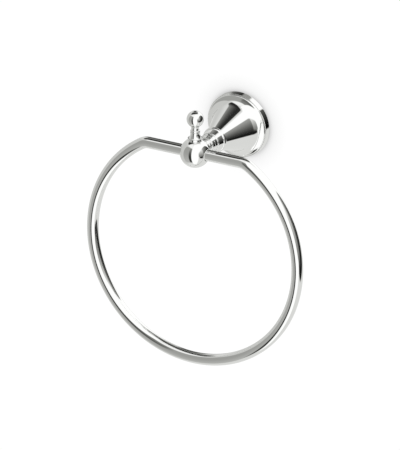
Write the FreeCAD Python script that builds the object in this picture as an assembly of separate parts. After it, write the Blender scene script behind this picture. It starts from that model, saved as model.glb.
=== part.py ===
import FreeCAD, Part
import math
import os

from FreeCAD import Vector

# A towel ring for a wall. A bell-shaped rose hides the bracket that is screwed to the wall.
# A turned post stands out of the rose and ends in a ball, and a small finial is screwed into
# the top of the ball. A round bar, bent to a ring with one straight side, swings in the ball.
#
# Millimetres. The origin is on the wall, on the axis of the rose. The wall is the plane Y = 0
# and the object stands out of it towards -Y, with +Z up and +X to the right.

# Ring
BAR_D = 10.0
RING_R = 100.0  # centre line of the round part
RING_FLAT = 12.6  # the straight side's axis lies this far inside the round part's centre line
BEND_R = 15.0  # centre line of the two bends beside the straight side
END_CLEAR = 0.3  # between each end of the bar and the finial's stud

# Ball of the post
BALL_D = 26.2
BALL_OUT = 76.2  # from the wall to the ball's centre, which is on the bar's axis
BORE_CLEAR = 0.08  # running clearance round the bar, on the radius
BORE_EDGE = 0.5  # broken edge at the two mouths of the cross bore

# Rose
ROSE_D = 57.4
ROSE_OUT = 40.6  # from the wall to the rose's front, where the post seats
RIM_W = 5.6
RIM_TAPER = 0.3  # the rim's front edge is smaller than its back edge by this, on the radius
RIM_EDGE = 0.4
RIM_STEP = 0.6  # from the rim's front edge in to the shoulder
SHOULDER_R = 1.5
SHOULDER_TURN = 70.0  # degrees that the shoulder turns towards the front before the cove begins
CONE_BASE_IN = 8.4  # the cone's line passes this far inside the rim's back edge ...
CONE_BASE_OUT = 13.4  # ... at this distance from the wall
CONE_TIP_D = 19.42
ROSE_WALL = 2.0
ROSE_FRONT_WALL = 3.0

# Bracket behind the rose
BRACKET_T = 4.6
BRACKET_FLOOR = 3.2
BRACKET_RIM = 4.5  # width of the raised rim that the grub screw bears on
BRACKET_CLEAR = 0.35
BRACKET_WINDOW_D = 14.0
SCREW_SPACING = 30.0  # the two wall screws stand one above the other
SCREW_HOLE_D = 5.0
SCREW_HEAD_D = 8.4

# Grub screw in the underside of the rim
GRUB_D = 4.0
GRUB_OUT = 2.9
GRUB_SUNK = 0.4
GRUB_KEY = 2.0
GRUB_KEY_DEPTH = 1.6
GROOVE_DEPTH = 1.5
POINT_CLEAR = 0.2

# Fixing of the post in the rose
SPIGOT_D = 12.0
SPIGOT_CLEAR = 0.05
SPIGOT_SHORT = 0.4  # the spigot stops this far short of the rose's inner face
STUD_D = 8.0
THREAD_CLEAR = 0.05
STUD_PAST_NUT = 1.6
STUD_EDGE = 0.6
WASHER_D = 16.0
WASHER_T = 1.6
WASHER_CLEAR = 0.2
NUT_ACROSS = 13.0
NUT_T = 6.5

# Turned bands of the post, from the rose to the ball
COLLAR_D = 22.4
COLLAR_ROUND = 2.4
COLLAR_TURN = 60.0
UPPER_BAND_L = 5.3
UPPER_BAND_D = 17.5  # at its small end
BEAD_D = 18.0
BEAD_ROUND = 0.8
MIDDLE_BAND_L = 2.8
MIDDLE_BAND_D = (16.6, 15.8)
LOWER_BAND_L = 2.8
LOWER_BAND_D = (15.2, 14.2)
NECK_D = 12.4
NECK_L = 1.3
END_BEAD_D = 13.8
END_BEAD_ROUND = 1.6
STEM_D = 12.0

# Finial on the ball
FINIAL_SEAT_D = 12.8
FINIAL_BASE_T = 2.1
FINIAL_BASE_EDGE = 0.6
FLARE_H = 4.8
FLARE_D = (11.2, 8.2)
FLARE_SAG = 0.35  # the flare's side is hollow by this
RING_GROOVE_D = 7.2
RING_GROOVE_W = 0.5
FINIAL_BEAD_D = 8.6
FINIAL_BEAD_ROUND = 1.0
WAIST_D = 6.8
WAIST_L = 2.5
TIP_BALL_D = 14.66
TIP_FLARE_D = 8.4  # where the waist's flare meets the small ball
FINIAL_STUD_D = 5.0
STUD_TIP_CLEAR = 0.65  # between the stud's end and the far side of the cross bore
FINIAL_STUD_EDGE = 0.5

CUT_PAST = 1.0  # how far a cutter runs past the face that it leaves by

RING_DROP = RING_R - RING_FLAT
BAR_R = BAR_D / 2
BALL_R = BALL_D / 2
BORE_R = BAR_R + BORE_CLEAR
ROSE_R = ROSE_D / 2
ROSE_INNER_FACE = ROSE_OUT - ROSE_FRONT_WALL
FINIAL_SEAT_R = FINIAL_SEAT_D / 2
FINIAL_SEAT_H = math.sqrt(BALL_R**2 - FINIAL_SEAT_R**2)
FINIAL_STUD_R = FINIAL_STUD_D / 2

X_AXIS = Vector(1, 0, 0)
Y_AXIS = Vector(0, 1, 0)
Z_AXIS = Vector(0, 0, 1)
ORIGIN = Vector(0, 0, 0)


def polar(centre, radius, tilt):
    """Point of a circle, at a tilt in degrees from the radial direction towards the front."""
    turn = math.radians(tilt)
    return centre[0] + radius * math.cos(turn), centre[1] + radius * math.sin(turn)


class Outline:
    """Half section of a turned piece, drawn as (radius, distance along the axis)."""

    def __init__(self, *start):
        self.start = start
        self.here = start
        self.edges = []

    def line(self, *point):
        if math.dist(self.here, point) > 1e-6:
            self.edges.append(Part.LineSegment(at(self.here), at(point)).toShape())
        self.here = point

    def lines(self, *points):
        for point in points:
            self.line(*point)

    def arc(self, through, end):
        self.edges.append(Part.Arc(at(self.here), at(through), at(end)).toShape())
        self.here = end

    def sweep(self, centre, radius, first, last):
        """A line to the start of an arc about the centre, then the arc."""
        self.line(*polar(centre, radius, first))
        self.arc(polar(centre, radius, (first + last) / 2), polar(centre, radius, last))

    def turned(self):
        """The closed outline, turned about the local Z axis."""
        self.line(*self.start)
        return Part.Face(Part.Wire(self.edges)).revolve(ORIGIN, Z_AXIS, 360)


def at(point):
    return Vector(point[0], 0, point[1])


def out_of_wall(shape):
    """Lay a piece that was made along local Z so that its Z points out of the wall."""
    shape.rotate(ORIGIN, X_AXIS, 90)
    return shape


def rod(radius, start, direction, length):
    return Part.makeCylinder(radius, length, start, direction)


def hexagon(across, height, start, direction):
    """A six-sided bar, from the start point along the direction."""
    corner = across / 2 / math.cos(math.pi / 6)
    ring = []
    for step in range(7):
        turn = math.radians(60 * step)
        ring.append(Vector(corner * math.cos(turn), corner * math.sin(turn), 0))
    bar = Part.Face(Part.makePolygon(ring)).extrude(Vector(0, 0, height))
    bar.Placement = FreeCAD.Placement(start, FreeCAD.Rotation(Z_AXIS, direction))
    return bar


class RoseForm:
    """The curves that the rose's outer and inner walls share."""

    def __init__(self):
        tip_r = CONE_TIP_D / 2
        base_r = ROSE_R - CONE_BASE_IN
        self.slope = (base_r - tip_r) / (ROSE_OUT - CONE_BASE_OUT)
        self.cone_tilt = math.degrees(math.atan(self.slope))
        self.tip_r = tip_r
        front_r = ROSE_R - RIM_TAPER
        self.front_r = front_r
        self.shoulder = (front_r - RIM_STEP - SHOULDER_R, RIM_W)
        start_r, start_out = polar(self.shoulder, SHOULDER_R, SHOULDER_TURN)
        # The cove leaves the shoulder at its tilt and runs out tangent to the cone.
        rise = math.sin(math.radians(SHOULDER_TURN)) - math.sin(math.radians(self.cone_tilt))
        fall = math.cos(math.radians(self.cone_tilt)) - math.cos(math.radians(SHOULDER_TURN))
        self.cove_r = (start_r - self.cone_r(start_out)) / (fall - self.slope * rise)
        self.cove = polar((start_r, start_out), self.cove_r, SHOULDER_TURN)
        self.bore_r = polar(self.cove, self.cove_r + ROSE_WALL, SHOULDER_TURN + 180)[0]

    def cone_r(self, out):
        """Radius of the outer cone at a distance from the wall."""
        return self.tip_r + (ROSE_OUT - out) * self.slope

    def inner_cone_r(self, out):
        return self.cone_r(out) - ROSE_WALL / math.cos(math.radians(self.cone_tilt))


def bell_rose(form):
    """A hollow bell with a stepped rim, a cove and a long cone, open at the wall."""
    hole_r = SPIGOT_D / 2 + SPIGOT_CLEAR
    inner = ROSE_INNER_FACE
    wall = Outline(form.bore_r, 0)
    wall.line(ROSE_R, 0)
    wall.sweep((form.front_r - RIM_EDGE, RIM_W - RIM_EDGE), RIM_EDGE, 0, 90)
    wall.sweep(form.shoulder, SHOULDER_R, 0, SHOULDER_TURN)
    wall.sweep(form.cove, form.cove_r, SHOULDER_TURN + 180, form.cone_tilt + 180)
    wall.lines((form.tip_r, ROSE_OUT), (hole_r, ROSE_OUT), (hole_r, inner))
    wall.line(form.inner_cone_r(inner), inner)
    wall.sweep(form.cove, form.cove_r + ROSE_WALL, form.cone_tilt + 180, SHOULDER_TURN + 180)
    bell = out_of_wall(wall.turned())
    return bell.cut(rod(GRUB_D / 2, Vector(0, -GRUB_OUT, 0), -Z_AXIS, ROSE_R * 2))


def bracket_radius(form):
    return form.bore_r - BRACKET_CLEAR


def wall_bracket(form):
    """A round plate with a raised rim, a groove for the grub screw and two countersunk holes."""
    outer = bracket_radius(form)
    well = outer - BRACKET_RIM
    plate = Outline(BRACKET_WINDOW_D / 2, 0)
    plate.lines((outer, 0), (outer, GRUB_OUT - GROOVE_DEPTH), (outer - GROOVE_DEPTH, GRUB_OUT))
    plate.lines((outer, GRUB_OUT + GROOVE_DEPTH), (outer, BRACKET_T), (well, BRACKET_T))
    plate.lines((well, BRACKET_FLOOR), (BRACKET_WINDOW_D / 2, BRACKET_FLOOR))
    bracket = out_of_wall(plate.turned())
    sink = (SCREW_HEAD_D - SCREW_HOLE_D) / 2
    for side in (-1, 1):
        foot = Vector(0, 0, side * SCREW_SPACING / 2)
        bracket = bracket.cut(rod(SCREW_HOLE_D / 2, foot, -Y_AXIS, BRACKET_T))
        mouth = foot + Vector(0, -BRACKET_FLOOR, 0)
        cone = Part.makeCone(SCREW_HEAD_D / 2, SCREW_HOLE_D / 2, sink, mouth, Y_AXIS)
        bracket = bracket.cut(cone)
    return bracket


def rose_grub_screw(form):
    """A screw without a head, its cone point in the bracket's groove and its key hole outside."""
    radius = GRUB_D / 2 - THREAD_CLEAR
    tip = bracket_radius(form) - GROOVE_DEPTH + POINT_CLEAR
    head = form.front_r - GRUB_SUNK
    body = Outline(0, tip)
    body.lines((radius, tip + radius), (radius, head), (0, head))
    screw = body.turned()
    key = hexagon(GRUB_KEY, GRUB_KEY_DEPTH + CUT_PAST, Vector(0, 0, head - GRUB_KEY_DEPTH), Z_AXIS)
    screw = screw.cut(key)
    screw.rotate(ORIGIN, X_AXIS, 180)
    screw.translate(Vector(0, -GRUB_OUT, 0))
    return screw


def post_washer():
    seat = ROSE_INNER_FACE
    hole_r = STUD_D / 2 + WASHER_CLEAR
    ring = Outline(hole_r, seat - WASHER_T)
    ring.lines((WASHER_D / 2, seat - WASHER_T), (WASHER_D / 2, seat), (hole_r, seat))
    return out_of_wall(ring.turned())


def post_nut():
    """A hexagon nut with its corners turned off on the face away from the washer."""
    front = ROSE_INNER_FACE - WASHER_T
    back = front - NUT_T
    corner = NUT_ACROSS / 2 / math.cos(math.pi / 6)
    drop = (corner - NUT_ACROSS / 2) * math.tan(math.radians(30))
    blank = Outline(STUD_D / 2 + THREAD_CLEAR, back)
    blank.lines((NUT_ACROSS / 2, back), (corner, back + drop), (corner, front))
    blank.line(STUD_D / 2 + THREAD_CLEAR, front)
    bar = hexagon(NUT_ACROSS, NUT_T, Vector(0, -back, 0), -Y_AXIS)
    return out_of_wall(blank.turned()).common(bar)


def post():
    """Stud, spigot, turned neck and ball in one piece, bored across for the ring."""
    stud_r = STUD_D / 2
    end = ROSE_INNER_FACE - WASHER_T - NUT_T - STUD_PAST_NUT
    spigot = ROSE_INNER_FACE + SPIGOT_SHORT
    body = Outline(0, end)
    body.lines((stud_r - STUD_EDGE, end), (stud_r, end + STUD_EDGE), (stud_r, spigot))
    body.lines((SPIGOT_D / 2, spigot), (SPIGOT_D / 2, ROSE_OUT))

    centre_r = COLLAR_D / 2 - COLLAR_ROUND
    out = ROSE_OUT + COLLAR_ROUND
    body.sweep((centre_r, out), COLLAR_ROUND, -90, COLLAR_TURN)
    out = body.here[1] + UPPER_BAND_L
    body.line(UPPER_BAND_D / 2, out)
    out += BEAD_ROUND
    body.sweep((BEAD_D / 2 - BEAD_ROUND, out), BEAD_ROUND, -90, 90)
    out += BEAD_ROUND
    for length, sizes in ((MIDDLE_BAND_L, MIDDLE_BAND_D), (LOWER_BAND_L, LOWER_BAND_D)):
        body.line(sizes[0] / 2, out)
        out += length
        body.line(sizes[1] / 2, out)
    body.line(NECK_D / 2, out)
    out += NECK_L
    body.line(NECK_D / 2, out)
    out += END_BEAD_ROUND
    body.sweep((END_BEAD_D / 2 - END_BEAD_ROUND, out), END_BEAD_ROUND, -90, 90)
    out += END_BEAD_ROUND
    body.lines((STEM_D / 2, out), (STEM_D / 2, max(out, BALL_OUT - STEM_D / 2) + CUT_PAST))
    body.line(0, body.here[1])
    neck = out_of_wall(body.turned())

    ball_centre = Vector(0, -BALL_OUT, 0)
    piece = neck.fuse(Part.makeSphere(BALL_R, ball_centre))
    for side in (-1, 1):
        piece = piece.cut(rod(BORE_R, ball_centre, X_AXIS * side, BALL_R + CUT_PAST))
        mouth = math.sqrt(BALL_R**2 - (BORE_R + BORE_EDGE) ** 2)
        start = ball_centre + X_AXIS * side * (mouth - BORE_EDGE)
        edge = Part.makeCone(BORE_R, BORE_R + 3 * BORE_EDGE, 3 * BORE_EDGE, start, X_AXIS * side)
        piece = piece.cut(edge)
    seat = ball_centre + Z_AXIS * FINIAL_SEAT_H
    piece = piece.cut(rod(BALL_R, seat, Z_AXIS, BALL_R))
    piece = piece.cut(rod(FINIAL_STUD_R + THREAD_CLEAR, ball_centre, Z_AXIS, BALL_R))
    return piece.removeSplitter()


def finial():
    """A turned knob: base, hollow flare, bead, waist and small ball, with a stud below."""
    seat = FINIAL_SEAT_H
    tip = -(BORE_R - STUD_TIP_CLEAR)
    knob = Outline(0, tip)
    knob.lines((FINIAL_STUD_R - FINIAL_STUD_EDGE, tip), (FINIAL_STUD_R, tip + FINIAL_STUD_EDGE))
    knob.lines((FINIAL_STUD_R, seat), (FINIAL_SEAT_R, seat))
    height = seat + FINIAL_BASE_T
    edge = FINIAL_BASE_EDGE
    knob.sweep((FINIAL_SEAT_R - edge, height - edge), edge, 0, 90)
    wide, narrow = FLARE_D[0] / 2, FLARE_D[1] / 2
    knob.line(wide, height)
    middle = ((wide + narrow) / 2 - FLARE_SAG, height + FLARE_H / 2 - FLARE_SAG)
    height += FLARE_H
    knob.arc(middle, (narrow, height))
    knob.line(RING_GROOVE_D / 2, height)
    height += RING_GROOVE_W
    knob.line(RING_GROOVE_D / 2, height)
    height += FINIAL_BEAD_ROUND
    knob.sweep((FINIAL_BEAD_D / 2 - FINIAL_BEAD_ROUND, height), FINIAL_BEAD_ROUND, -90, 90)
    height += FINIAL_BEAD_ROUND
    knob.line(WAIST_D / 2, height)
    height += WAIST_L
    knob.line(WAIST_D / 2, height)
    ball_r = TIP_BALL_D / 2
    meet_r = TIP_FLARE_D / 2
    below = math.sqrt(ball_r**2 - meet_r**2)
    # The flare under the small ball has the ball's own slope where they meet.
    reach = (meet_r - WAIST_D / 2) * below / meet_r
    height += reach
    knob.line(meet_r, height)
    low_tilt = -math.degrees(math.asin(below / ball_r))
    knob.sweep((0, height + below), ball_r, low_tilt, 90)
    piece = knob.turned()
    piece.translate(Vector(0, -BALL_OUT, 0))
    return piece


def ring():
    """A bent round bar: straight through the ball, two bends, then most of a circle."""
    inner_end = FINIAL_STUD_R + END_CLEAR
    bend_x = math.sqrt((RING_R - BEND_R) ** 2 - (RING_DROP - BEND_R) ** 2)
    join = math.degrees(math.atan2(RING_DROP - BEND_R, bend_x))

    def spot(centre_x, centre_z, radius, turn):
        angle = math.radians(turn)
        x = centre_x + radius * math.cos(angle)
        return Vector(x, -BALL_OUT, centre_z + radius * math.sin(angle))

    def bend(side):
        middle = 90 - side * (90 - join) / 2
        far = 90 - side * (90 - join)
        centre = (side * bend_x, -BEND_R, BEND_R)
        return spot(*centre, 90), spot(*centre, middle), spot(*centre, far)

    right = bend(1)
    left = bend(-1)
    start = Vector(inner_end, -BALL_OUT, 0)
    path = [
        Part.LineSegment(start, right[0]),
        Part.Arc(*right),
        Part.Arc(right[2], spot(0, -RING_DROP, RING_R, -90), left[2]),
        Part.Arc(left[2], left[1], left[0]),
        Part.LineSegment(left[0], Vector(-inner_end, -BALL_OUT, 0)),
    ]
    spine = Part.Wire([curve.toShape() for curve in path])
    section = Part.Wire(Part.Circle(start, X_AXIS, BAR_R).toShape())
    return spine.makePipeShell([section], True, False)


def main():
    os.makedirs("parts", exist_ok=True)
    form = RoseForm()
    pieces = {
        "wall_bracket": wall_bracket(form),
        "bell_rose": bell_rose(form),
        "rose_grub_screw": rose_grub_screw(form),
        "post": post(),
        "post_washer": post_washer(),
        "post_nut": post_nut(),
        "finial": finial(),
        "ring": ring(),
    }
    for name, shape in pieces.items():
        if not shape.isValid() or len(shape.Solids) != 1:
            raise ValueError(name + " is not one valid solid")
        shape.Solids[0].exportStep("parts/" + name + ".step")
        print(name, round(shape.Volume, 1), shape.BoundBox)


main()
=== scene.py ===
import math

import bmesh
import bpy
from mathutils import Matrix, Vector


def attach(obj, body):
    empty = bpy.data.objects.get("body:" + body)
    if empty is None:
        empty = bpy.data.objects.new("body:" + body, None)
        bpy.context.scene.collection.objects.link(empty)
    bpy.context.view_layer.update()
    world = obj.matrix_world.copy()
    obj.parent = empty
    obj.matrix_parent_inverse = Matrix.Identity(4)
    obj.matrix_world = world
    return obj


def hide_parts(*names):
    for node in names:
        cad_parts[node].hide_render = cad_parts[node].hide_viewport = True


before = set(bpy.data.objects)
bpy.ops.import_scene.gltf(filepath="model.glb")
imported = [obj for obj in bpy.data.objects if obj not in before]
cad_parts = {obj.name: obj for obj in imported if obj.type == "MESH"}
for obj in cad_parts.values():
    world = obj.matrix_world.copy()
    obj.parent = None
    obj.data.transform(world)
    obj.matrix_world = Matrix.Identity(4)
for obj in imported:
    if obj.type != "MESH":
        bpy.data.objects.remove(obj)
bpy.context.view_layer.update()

# A towel ring in chromed brass, seen from the right and a little above.
# Sizes are in millimetres until a mesh is finished, and in the frame's metres after that.
# The wall is the plane y = 0, the object stands out of it towards -y, and z is up.

MM = 0.001
TURN_STEPS = 176  # segments round a turned piece
CUTTER_STEPS = 72
ARC_STEP = 5.0  # degrees of a drawn arc in one segment
CORNER_STEP = 12.0  # degrees of a rounded corner in one segment
LINE_STEP = 0.8  # longest segment of a straight stretch, so that its shading stays true
MERGE = 1e-4  # vertices closer than this are one
SHARP = math.radians(32)  # edges that turn more than this stay sharp

ROSE_FRONT = 40.6  # the rose's front face, where the post's collar sits
BALL_OUT = 76.2
BALL_R = 13.1
BAR_R = 5.0
FINIAL_R = 6.4  # the finial's base and the flat that it stands on

OUT_OF_WALL = Matrix.Rotation(math.radians(90), 4, "X")  # turns local z out of the wall
AT_BALL = Matrix.Translation((0, -BALL_OUT, 0))


# Turned pieces


class Profile:
    """Half section of a turned piece in the local xz plane: radius, distance along the axis."""

    def __init__(self, radius, along):
        self.bm = bmesh.new()
        self.first = self.bm.verts.new((radius, 0, along))
        self.tip = self.first
        self.corners = []

    def line(self, radius, along, soft=0):
        """A straight stretch. soft is the radius that rounds the corner at its far end."""
        vertex = self.bm.verts.new((radius, 0, along))
        self.bm.edges.new((self.tip, vertex))
        self.tip = vertex
        if soft:
            self.corners.append((vertex, soft))

    def arc(self, radius, along, degrees):
        """Carries the tip round a centre. A positive angle turns it from +x towards +z."""
        steps = max(4, math.ceil(abs(degrees) / ARC_STEP))
        spun = bmesh.ops.spin(
            self.bm, geom=[self.tip], cent=(radius, 0, along), axis=(0, -1, 0),
            angle=math.radians(degrees), steps=steps)
        self.tip = next(part for part in spun["geom_last"] if isinstance(part, bmesh.types.BMVert))

    def close(self):
        self.bm.edges.new((self.tip, self.first))

    def round_corners(self):
        """Rounds each marked corner with an arc of its own radius."""
        most = 0.45  # share of a neighbouring stretch that a corner may take
        for vertex, radius in self.corners:
            before, after = (edge.other_vert(vertex).co - vertex.co for edge in vertex.link_edges)
            turn = math.pi - before.angle(after)
            reach = radius * math.tan(turn / 2)
            reach = min(reach, most * before.length, most * after.length)
            bmesh.ops.bevel(
                self.bm, geom=[vertex], offset=reach, offset_type="OFFSET", affect="VERTICES",
                segments=max(3, math.ceil(math.degrees(turn) / CORNER_STEP)), profile=0.5, material=-1)

    def divide(self):
        """Cuts long straight stretches, so that a rounded corner's shading stays beside it."""
        for edge in list(self.bm.edges):
            cuts = math.floor(edge.calc_length() / LINE_STEP)
            if cuts:
                bmesh.ops.subdivide_edges(self.bm, edges=[edge], cuts=cuts)

    def turned(self, steps=TURN_STEPS):
        """The outline turned about the local z axis, as a mesh of quads with closed poles."""
        self.round_corners()
        self.divide()
        bm = self.bm
        bmesh.ops.spin(
            bm, geom=bm.verts[:] + bm.edges[:], cent=(0, 0, 0), axis=(0, 0, 1),
            angle=2 * math.pi, steps=steps, use_merge=True)
        bmesh.ops.remove_doubles(bm, verts=bm.verts, dist=MERGE)
        bmesh.ops.recalc_face_normals(bm, faces=bm.faces)
        return bm


def new_object(name, bm, place):
    """Puts a mesh drawn in millimetres in its place in the frame."""
    bmesh.ops.transform(bm, matrix=Matrix.Scale(MM, 4) @ place, verts=bm.verts)
    mesh = bpy.data.meshes.new(name)
    bm.to_mesh(mesh)
    bm.free()
    made = bpy.data.objects.new(name, mesh)
    bpy.context.scene.collection.objects.link(made)
    return made


def shade(bm):
    """Smooth faces, with the turned corners left sharp."""
    for face in bm.faces:
        face.smooth = True
    for edge in bm.edges:
        edge.smooth = edge.calc_face_angle(0) < SHARP


def piece(name, bm, place, slot, material, body, *nodes):
    """Finishes a mesh: shades it, places it, gives its material and puts it on its body."""
    shade(bm)
    made = new_object(name, bm, place)
    made.data.materials.append(material)
    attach(made, body)
    if nodes:
        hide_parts(*nodes)
    return made


def cut_away(target, tool_bm, place):
    """Takes a closed tool away from a finished piece."""
    cutter = new_object("cutter", tool_bm, place)
    cut = target.modifiers.new("cut", "BOOLEAN")
    cut.operation = "DIFFERENCE"
    cut.solver = "EXACT"
    cut.object = cutter
    graph = bpy.context.evaluated_depsgraph_get()
    made = bpy.data.meshes.new_from_object(target.evaluated_get(graph), depsgraph=graph)
    target.modifiers.clear()
    made.name = target.data.name
    target.data = made
    bpy.data.objects.remove(cutter)
    bm = bmesh.new()
    bm.from_mesh(made)
    bmesh.ops.remove_doubles(bm, verts=bm.verts, dist=2 * MERGE * MM)
    shade(bm)
    bm.to_mesh(made)
    bm.free()


# Shader groups


def new_group(name, sockets_in, sockets_out):
    group = bpy.data.node_groups.new(name, "ShaderNodeTree")
    for label, kind, value in sockets_in:
        socket = group.interface.new_socket(label, in_out="INPUT", socket_type=kind)
        socket.default_value = value
    for label, kind in sockets_out:
        group.interface.new_socket(label, in_out="OUTPUT", socket_type=kind)
    return group, group.nodes.new("NodeGroupInput"), group.nodes.new("NodeGroupOutput")


def add(tree, kind, **values):
    """A node with its properties set. Names that are sockets' labels set those sockets."""
    node = tree.nodes.new(kind)
    for label, value in values.items():
        if hasattr(node, label):
            setattr(node, label, value)
        else:
            node.inputs[label.replace("_", " ")].default_value = value
    return node


def math_node(tree, operation, first, second=None, clamp=False):
    node = add(tree, "ShaderNodeMath", operation=operation, use_clamp=clamp)
    for socket, value in zip(node.inputs, (first, second)):
        if isinstance(value, bpy.types.NodeSocket):
            tree.links.new(value, socket)
        elif value is not None:
            socket.default_value = value
    return node.outputs[0]


FLOAT, VECTOR = "NodeSocketFloat", "NodeSocketVector"


def polish_group():
    """What a polished, plated surface has: a slow ripple left by the wheel and a little haze."""
    group, given, made = new_group(
        "polish",
        [("Ripple size", FLOAT, 60.0), ("Haze size", FLOAT, 25.0),
         ("Least roughness", FLOAT, 0.02), ("Most roughness", FLOAT, 0.06)],
        [("Roughness", FLOAT), ("Height", FLOAT)])
    place = group.nodes.new("ShaderNodeTexCoord").outputs["Object"]
    ripple = add(group, "ShaderNodeTexNoise", Detail=1.0)
    haze = add(group, "ShaderNodeTexNoise", Detail=3.0)
    spread = add(group, "ShaderNodeMapRange", From_Min=0.35, From_Max=0.7)
    link = group.links.new
    for noise, scale in ((ripple, "Ripple size"), (haze, "Haze size")):
        link(place, noise.inputs["Vector"])
        link(given.outputs[scale], noise.inputs["Scale"])
    link(haze.outputs["Fac"], spread.inputs["Value"])
    link(given.outputs["Least roughness"], spread.inputs["To Min"])
    link(given.outputs["Most roughness"], spread.inputs["To Max"])
    link(spread.outputs["Result"], made.inputs["Roughness"])
    link(ripple.outputs["Fac"], made.inputs["Height"])
    return group


def metal(name, colour, roughness, ripple, depth):
    """A bare or plated metal. roughness is (least, most); depth is the ripple's height in m."""
    material = bpy.data.materials.new(name)
    material.use_nodes = True
    tree = material.node_tree
    shader = tree.nodes["Principled BSDF"]
    shader.inputs["Metallic"].default_value = 1.0
    shader.inputs["Base Color"].default_value = (*colour, 1)
    surface = add(tree, "ShaderNodeGroup", node_tree=POLISH)
    surface.inputs["Ripple size"].default_value = ripple
    surface.inputs["Least roughness"].default_value = roughness[0]
    surface.inputs["Most roughness"].default_value = roughness[1]
    bump = add(tree, "ShaderNodeBump", Distance=depth, Strength=1.0)
    tree.links.new(surface.outputs["Roughness"], shader.inputs["Roughness"])
    tree.links.new(surface.outputs["Height"], bump.inputs["Height"])
    tree.links.new(bump.outputs["Normal"], shader.inputs["Normal"])
    return material


CHROME_WHITE = 0.86  # share of the light that chrome gives back
POLISH = polish_group()
chrome = metal("chrome_plate", (CHROME_WHITE, 0.865, 0.855), (0.015, 0.05), 70.0, 1.5e-6)
fixing_steel = metal("zinc_plated_steel", (0.62, 0.63, 0.64), (0.28, 0.45), 900.0, 8e-6)
bracket_metal = metal("cast_zinc", (0.48, 0.485, 0.49), (0.38, 0.55), 1400.0, 2e-5)


# Rose


def rose():
    """A hollow bell: a stepped rim on the wall, a rounded shoulder, a cove and a long cone."""
    rim_back_r, rim_front_r = 28.7, 28.4
    # each rounded stretch has its centre, as radius and distance out of the wall, and its radius
    shoulder, shoulder_r, shoulder_turn = (26.3, 5.6), 1.5, 70.0
    cove, cove_r = (30.582, 17.365), 11.02
    rim_w = shoulder[1]
    tip_r, slope = 9.71, 0.38934
    cone_tilt = math.atan(slope)
    cove_turn = shoulder_turn - math.degrees(cone_tilt)
    wall, front_wall, hole_r = 2.0, 3.0, 6.05
    inner = ROSE_FRONT - front_wall
    cove_back_r = cove_r + wall
    bore_r = cove[0] - cove_back_r * math.cos(math.radians(shoulder_turn))
    inner_r = tip_r + front_wall * slope - wall / math.cos(cone_tilt)
    bell = Profile(bore_r, 0)
    bell.line(rim_back_r, 0, 0.25)
    bell.line(rim_front_r, rim_w, 0.4)
    bell.line(shoulder[0] + shoulder_r, rim_w, 0.1)
    bell.arc(*shoulder, shoulder_turn)
    bell.arc(*cove, -cove_turn)
    bell.line(tip_r, ROSE_FRONT, 0.3)
    bell.line(hole_r, ROSE_FRONT, 0.1)
    bell.line(hole_r, inner, 0.1)
    bell.line(inner_r, inner, 0.5)
    cone_end_r = cove[0] - cove_back_r * math.cos(cone_tilt)
    bell.line(cone_end_r, cove[1] - cove_back_r * math.sin(cone_tilt))
    bell.arc(*cove, cove_turn)
    bell.close()
    made = piece("rose_bell", bell.turned(), OUT_OF_WALL, "chrome", chrome, "wall_side", "bell_rose")
    hole = bmesh.new()
    grub_r, grub_out, reach = 2.0, 2.9, 12.0
    bmesh.ops.create_cone(
        hole, cap_ends=True, segments=48, radius1=grub_r, radius2=grub_r, depth=reach)
    cut_away(made, hole, Matrix.Translation((0, -grub_out, -rim_back_r)))


# Post and finial


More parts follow.
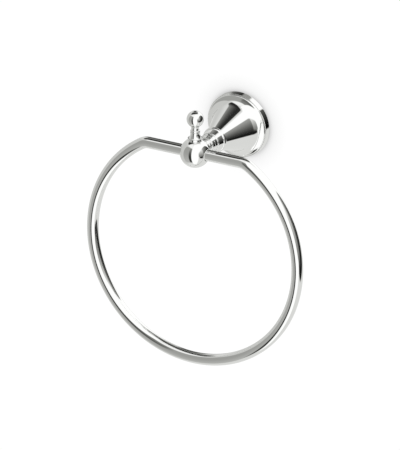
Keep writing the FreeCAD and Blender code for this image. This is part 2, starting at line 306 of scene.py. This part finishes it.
def post():
    """Stud, spigot, turned neck and ball in one piece, bored across for the bar."""
    stud_r, stud_end, thread_stop, pitch, groove = 4.0, 27.9, 36.5, 1.25, 0.65
    spigot_r, spigot_end = 6.0, 38.0
    body = Profile(0, stud_end)
    body.line(stud_r, stud_end, 0.6)
    along = stud_end + pitch
    while along < thread_stop:
        body.line(stud_r, along)
        body.line(stud_r - groove, along + pitch / 2)
        along += pitch
    body.line(stud_r, along)
    body.line(stud_r, spigot_end)
    body.line(spigot_r, spigot_end, 0.4)
    body.line(spigot_r, ROSE_FRONT)
    # collar: a half-round bead on the rose, then a long taper
    body.line(8.8, ROSE_FRONT)
    body.arc(8.8, ROSE_FRONT + 2.4, 150)
    body.line(8.75, 50.378, 0.12)
    body.line(8.2, 50.378)
    body.arc(8.2, 51.178, 180)
    # two short tapers, each narrower than the one before
    body.line(8.3, 51.978, 0.2)
    body.line(7.9, 54.778, 0.25)
    body.line(7.6, 54.778, 0.1)
    body.line(7.1, 57.578, 0.3)
    body.line(6.2, 57.578, 0.3)
    body.line(6.2, 58.878, 0.15)
    body.line(5.3, 58.878)
    body.arc(5.3, 60.478, 180)
    # stem, which runs into the ball
    stem_r = 6.0
    body.line(stem_r, 62.078, 0.1)
    stem_meets = BALL_OUT - math.sqrt(BALL_R**2 - stem_r**2)
    body.line(stem_r, stem_meets)
    low = math.degrees(math.atan2(stem_meets - BALL_OUT, stem_r))
    body.arc(0, BALL_OUT, 90 - low)
    made = piece("turned_post", body.turned(), OUT_OF_WALL, "chrome", chrome, "wall_side", "post")

    bore_r, edge, past = BAR_R + 0.08, 0.5, 2.0
    mouth = math.sqrt(BALL_R**2 - (bore_r + edge) ** 2)
    bore = Profile(0, -BALL_R - past)
    bore.line(bore_r + edge + past, -BALL_R - past)
    bore.line(bore_r, -mouth + edge, 0.5)
    bore.line(bore_r, mouth - edge, 0.5)
    bore.line(bore_r + edge + past, BALL_R + past)
    bore.line(0, BALL_R + past)
    cut_away(made, bore.turned(CUTTER_STEPS), AT_BALL @ Matrix.Rotation(math.radians(90), 4, "Y"))

    # the flat that the finial stands on, and the hole for its stud
    seat_up = math.sqrt(BALL_R**2 - FINIAL_R**2)
    stud_hole_r, clear = 2.55, 3.0
    pocket = Profile(0, 0)
    pocket.line(stud_hole_r, 0)
    pocket.line(stud_hole_r, seat_up)
    pocket.line(FINIAL_R + clear, seat_up)
    pocket.line(FINIAL_R + clear, BALL_R + past)
    pocket.line(0, BALL_R + past)
    cut_away(made, pocket.turned(CUTTER_STEPS), AT_BALL)


def finial():
    """A turned knob on top of the ball: base, hollow flare, bead, waist and small ball."""
    seat_up = math.sqrt(BALL_R**2 - FINIAL_R**2)
    stud_r, stud_end = 2.5, -4.43
    knob = Profile(0, stud_end)
    knob.line(stud_r, stud_end, 0.5)
    knob.line(stud_r, seat_up)
    knob.line(FINIAL_R, seat_up, 0.25)
    top = seat_up + 2.1
    knob.line(FINIAL_R, top, 0.7)
    # hollow side of the flare, an arc of a wide circle
    wide, narrow, rise, sag = 5.6, 4.1, 4.8, 0.55
    knob.line(wide, top, 0.1)
    chord = math.hypot(wide - narrow, rise)
    flare_r = (chord**2 / 4 + sag**2) / (2 * sag)
    lean = math.atan2(wide - narrow, rise)
    deep = math.sqrt(flare_r**2 - chord**2 / 4)
    middle = ((wide + narrow) / 2 + deep * math.cos(lean), top + rise / 2 + deep * math.sin(lean))
    knob.arc(*middle, -2 * math.degrees(math.asin(chord / 2 / flare_r)))
    top += rise
    # neck and bead
    knob.line(3.6, top, 0.1)
    top += 0.5
    knob.line(3.6, top, 0.1)
    knob.line(3.3, top)
    knob.arc(3.3, top + 1.0, 180)
    top += 2.0
    # waist and small ball
    waist_r, ball_r, meet_r = 3.4, 7.33, 4.2
    knob.line(waist_r, top, 0.15)
    top += 2.5
    below = math.sqrt(ball_r**2 - meet_r**2)
    reach = (meet_r - waist_r) * below / meet_r
    knob.line(waist_r, top, 2.0)
    knob.line(meet_r, top + reach)
    centre = top + reach + below
    knob.arc(0, centre, 90 + math.degrees(math.asin(below / ball_r)))
    piece("finial_knob", knob.turned(), AT_BALL, "chrome", chrome, "wall_side", "finial")


# Ring


def ring():
    """The bent bar: a section carried along the straight, round two bends and most of a circle."""
    ring_r, drop, bend_r, inner_end = 100.0, 87.4, 15.0, 2.8
    straight_steps, bend_steps, hoop_steps = 24, 24, 360
    bend_x = math.sqrt((ring_r - bend_r) ** 2 - (drop - bend_r) ** 2)
    bend = math.pi / 2 - math.atan2(drop - bend_r, bend_x)
    along = ((bend_x - inner_end) / straight_steps, 0, 0)
    bm = bmesh.new()
    bmesh.ops.create_circle(
        bm, segments=72, radius=BAR_R,
        matrix=Matrix.Translation((inner_end, 0, 0)) @ Matrix.Rotation(math.radians(90), 4, "Y"))
    first = bm.edges[:]

    def carry(end, steps, angle=0, centre=(0, 0, 0), shift=(0, 0, 0)):
        """Turns the bar's end about a centre, or shifts it at each step, and gives the new end."""
        spun = bmesh.ops.spin(
            bm, geom=end, cent=centre, axis=(0, 1, 0), dvec=shift, angle=angle, steps=steps)
        return [part for part in spun["geom_last"] if isinstance(part, bmesh.types.BMEdge)]

    end = carry(first, straight_steps, shift=along)
    end = carry(end, bend_steps, bend, (bend_x, 0, -bend_r))
    end = carry(end, hoop_steps, 2 * math.pi - 2 * bend, (0, 0, -drop))
    end = carry(end, bend_steps, bend, (-bend_x, 0, -bend_r))
    end = carry(end, straight_steps, shift=along)
    for loop in (first, end):
        cap = bmesh.ops.edgeloop_fill(bm, edges=loop)["faces"]
        bmesh.ops.inset_region(bm, faces=cap, thickness=0.4, depth=0)
    bmesh.ops.remove_doubles(bm, verts=bm.verts, dist=MERGE)
    bmesh.ops.recalc_face_normals(bm, faces=bm.faces)
    piece("ring_bar", bm, AT_BALL, "chrome", chrome, "swing_ring", "ring")


rose()
post()
finial()
ring()
for name, finish in (("wall_bracket", bracket_metal), ("post_washer", fixing_steel),
                     ("post_nut", fixing_steel), ("rose_grub_screw", fixing_steel)):
    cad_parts[name].data.materials.clear()
    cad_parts[name].data.materials.append(finish)


# Studio

VIEW_AZIMUTH, VIEW_ELEVATION = 30.0, 22.0
STUDIO_TINT = (0.993, 1.0, 0.95)  # of the dark greys; it fades towards white
EVEN_POWER = 2.25  # turns a share of white, as the eye sees it, into light


def towards(azimuth, elevation):
    """A direction in the studio. Azimuth 0 is the camera's, 90 is its right; 90 up is the zenith."""
    turn = math.radians(VIEW_AZIMUTH + azimuth)
    tilt = math.radians(elevation)
    return Vector((math.sin(turn) * math.cos(tilt), -math.cos(turn) * math.cos(tilt), math.sin(tilt)))


def grey(shown):
    """Scene-linear value of a grey that shows at this share of white."""
    return ((shown + 0.055) / 1.055) ** 2.4 if shown > 0.04045 else shown / 12.92


def edge_group():
    """One straight edge of a card, as the directions on its inner side."""
    group, given, made = new_group(
        "card edge",
        [("Direction", VECTOR, (0, 0, 1)), ("Inwards", VECTOR, (0, 0, 1)), ("Softness", FLOAT, 0.05)],
        [("Mask", FLOAT)])
    side = add(group, "ShaderNodeVectorMath", operation="DOT_PRODUCT")
    group.links.new(given.outputs["Direction"], side.inputs[0])
    group.links.new(given.outputs["Inwards"], side.inputs[1])
    share = math_node(group, "DIVIDE", side.outputs["Value"], given.outputs["Softness"])
    group.links.new(math_node(group, "ADD", share, 0.5, clamp=True), made.inputs["Mask"])
    return group


class Studio:
    """The surroundings that the chrome shows: cards and softboxes far off, each by its corners."""

    def __init__(self, base):
        self.world = bpy.data.worlds.new("studio")
        self.world.use_nodes = True
        bpy.context.scene.world = self.world
        self.tree = self.world.node_tree
        self.tree.nodes.clear()
        self.direction = self.tree.nodes.new("ShaderNodeTexCoord").outputs["Generated"]
        self.edge = edge_group()
        self.value = grey(base)

    def mask(self, corners, soft):
        """Corners are (azimuth, elevation), in order round a card without hollow sides."""
        points = [towards(*corner) for corner in corners]
        middle = sum(points, Vector((0, 0, 0)))
        mask = None
        for here, there in zip(points, points[1:] + points[:1]):
            node = add(self.tree, "ShaderNodeGroup", node_tree=self.edge)
            self.tree.links.new(self.direction, node.inputs["Direction"])
            inwards = there.cross(here).normalized()
            node.inputs["Inwards"].default_value = inwards if inwards.dot(middle) > 0 else -inwards
            node.inputs["Softness"].default_value = math.radians(soft)
            out = node.outputs["Mask"]
            mask = out if mask is None else math_node(self.tree, "MULTIPLY", mask, out)
        return mask

    def fade(self, start, end, first, last):
        """A grey that runs evenly, as the eye sees it, between two directions."""
        a, b = towards(*start), towards(*end)
        along = (b - a).normalized()
        dot = add(self.tree, "ShaderNodeVectorMath", operation="DOT_PRODUCT")
        self.tree.links.new(self.direction, dot.inputs[0])
        dot.inputs[1].default_value = along
        run = add(self.tree, "ShaderNodeMapRange", From_Min=a.dot(along), From_Max=b.dot(along),
                  To_Min=first, To_Max=last)
        self.tree.links.new(dot.outputs["Value"], run.inputs["Value"])
        return math_node(self.tree, "POWER", run.outputs["Result"], EVEN_POWER)

    def card(self, shown, corners, soft=4.0):
        """Lays a card over what is behind it. shown is a grey's share of white, or a fade."""
        value = grey(shown) if isinstance(shown, float) else shown
        mix = self.tree.nodes.new("ShaderNodeMix")
        mix.data_type = "FLOAT"
        for socket, given in ((mix.inputs["Factor"], self.mask(corners, soft)),
                              (mix.inputs["A"], self.value), (mix.inputs["B"], value)):
            if isinstance(given, bpy.types.NodeSocket):
                self.tree.links.new(given, socket)
            else:
                socket.default_value = given
        self.value = mix.outputs["Result"]

    def finish(self):
        """The chrome sees the cards; the camera and matt surfaces see a plain white room."""
        tree = self.tree
        path = tree.nodes.new("ShaderNodeLightPath")
        warmth = add(tree, "ShaderNodeVectorMath", operation="MULTIPLY_ADD")
        tree.links.new(self.value, warmth.inputs[0])
        warmth.inputs[1].default_value = [1 - share for share in STUDIO_TINT]
        warmth.inputs[2].default_value = STUDIO_TINT
        tinted = add(tree, "ShaderNodeVectorMath", operation="SCALE")
        tree.links.new(warmth.outputs["Vector"], tinted.inputs[0])
        tree.links.new(self.value, tinted.inputs["Scale"])
        cards = tree.nodes.new("ShaderNodeBackground")
        tree.links.new(tinted.outputs["Vector"], cards.inputs["Color"])
        cards.inputs["Strength"].default_value = 1 / CHROME_WHITE
        room = add(tree, "ShaderNodeBackground", Strength=1.0)
        room.inputs["Color"].default_value = (1, 1, 1, 1)
        both = tree.nodes.new("ShaderNodeMixShader")
        tree.links.new(path.outputs["Is Glossy Ray"], both.inputs["Fac"])
        tree.links.new(room.outputs[0], both.inputs[1])
        tree.links.new(cards.outputs[0], both.inputs[2])
        out = tree.nodes.new("ShaderNodeOutputWorld")
        tree.links.new(both.outputs[0], out.inputs["Surface"])
        self.world.cycles.sampling_method = "NONE"


studio = Studio(0.84)
# background on the left, a little darker than the rest, and the lit ceiling over it
studio.card(0.77, [(-60, 50), (-60, -60), (-110, -60), (-165, -40), (-165, 30), (-120, 45)], 12.0)
studio.card(0.95, [(-98, 46), (-28, 42), (-28, 74), (-85, 74)], 6.0)
# white ceiling over the right side, in two halves
studio.card(1.0, [(-27, 80), (-27, 0), (60, 5), (120, 0), (118, 56), (80, 78)], 4.0)
studio.card(1.0, [(95, 60), (95, -6), (150, -8), (166, 8), (164, 34), (150, 44), (120, 58)], 4.0)
# dark overhead card behind the object, with the stand that runs down from it
studio.card(studio.fade((-129, 62), (-156, 42), 0.18, 0.58),
            [(-97, 50), (-122, 44), (-152, 41), (175, 33), (166, 33), (150, 40), (122, 58),
             (110, 76), (-92, 76)], 4.0)
studio.card(studio.fade((180, 35), (180, -15), 0.20, 0.72),
            [(-171, 45), (-171, -25), (172, -25), (172, 45)], 3.0)
# card on the left, with a darker edge beside the softbox
studio.card(studio.fade((-60, 5), (-60, -50), 0.61, 0.69),
            [(-96, 36), (-98, -48), (-28, -58), (-28, 46)], 4.0)
studio.card(studio.fade((-40, 35), (-40, -15), 0.50, 0.22),
            [(-48, 42), (-50, -56), (-28, -60), (-28, 44)], 4.0)
# softbox in front
studio.card(1.0, [(-28, 82), (-28, -76), (26, -76), (26, 82)], 3.0)
# dark card on the right: its near end is lighter, its far end lower and darker
studio.card(studio.fade((53, 32), (95, -25), 0.70, 0.0),
            [(27, 12), (27, -28), (75, -29), (142, -24), (132, 0), (112, 28), (95, 36), (72, 37)], 3.0)
studio.card(studio.fade((47, 30), (47, -6), 0.89, 0.53),
            [(27, 14), (27, -12), (64, -10), (64, 35)], 7.0)
studio.card(0.10, [(34, -15), (34, -28), (75, -29), (90, -28), (88, -18), (60, -17)], 4.0)
studio.finish()


def wall():
    """A white wall that glows, darkened near the object by ambient occlusion as a painted soft shadow,
    and isn't there from behind.
    """
    half, behind = 1500.0, 0.15
    bm = bmesh.new()
    bmesh.ops.create_grid(bm, x_segments=1, y_segments=1, size=half)
    backdrop = new_object("wall", bm, Matrix.Translation((0, behind, 0)) @ OUT_OF_WALL)
    material = bpy.data.materials.new("white_wall")
    material.use_nodes = True
    tree = material.node_tree
    tree.nodes.clear()
    # painted shadow: ambient occlusion lowers the wall's glow near the object
    open_sky = add(tree, "ShaderNodeAmbientOcclusion", samples=32, Distance=0.045)
    light = add(tree, "ShaderNodeMapRange", From_Min=0.35, From_Max=0.97, To_Min=0.42, To_Max=1.03)
    lit = tree.nodes.new("ShaderNodeEmission")
    clear = tree.nodes.new("ShaderNodeBsdfTransparent")
    both = tree.nodes.new("ShaderNodeMixShader")
    path = tree.nodes.new("ShaderNodeLightPath")
    side = tree.nodes.new("ShaderNodeNewGeometry")
    hidden = math_node(tree, "MAXIMUM", path.outputs["Is Glossy Ray"], side.outputs["Backfacing"])
    out = tree.nodes.new("ShaderNodeOutputMaterial")
    link = tree.links.new
    link(open_sky.outputs["AO"], light.inputs["Value"])
    link(light.outputs["Result"], lit.inputs["Strength"])
    link(hidden, both.inputs["Fac"])
    link(lit.outputs[0], both.inputs[1])
    link(clear.outputs[0], both.inputs[2])
    link(both.outputs[0], out.inputs["Surface"])
    backdrop.data.materials.append(material)


wall()


# Camera


def camera():
    """A long lens is close to parallel: the frame is 450 high and a millimetre is 1.18 of it."""
    per_mm, distance = 1.18, 900.0
    wide, high = 400.0, 450.0
    ball_at = (195.15, 152.5)
    back = towards(0, VIEW_ELEVATION)
    right = Vector((math.cos(math.radians(VIEW_AZIMUTH)), math.sin(math.radians(VIEW_AZIMUTH)), 0))
    up = back.cross(right)
    aim = Vector((0, -BALL_OUT, 0))
    aim += right * (wide / 2 - ball_at[0]) / per_mm - up * (high / 2 - ball_at[1]) / per_mm
    data = bpy.data.cameras.new("camera")
    data.type = "ORTHO"
    data.ortho_scale = high / per_mm * MM
    data.clip_end = 10
    eye = bpy.data.objects.new("camera", data)
    bpy.context.scene.collection.objects.link(eye)
    eye.location = (aim + back * distance) * MM
    eye.rotation_mode = "QUATERNION"
    eye.rotation_quaternion = (-back).to_track_quat("-Z", "Y")
    bpy.context.scene.camera = eye


camera()
bpy.context.scene.view_settings.view_transform = "Standard"
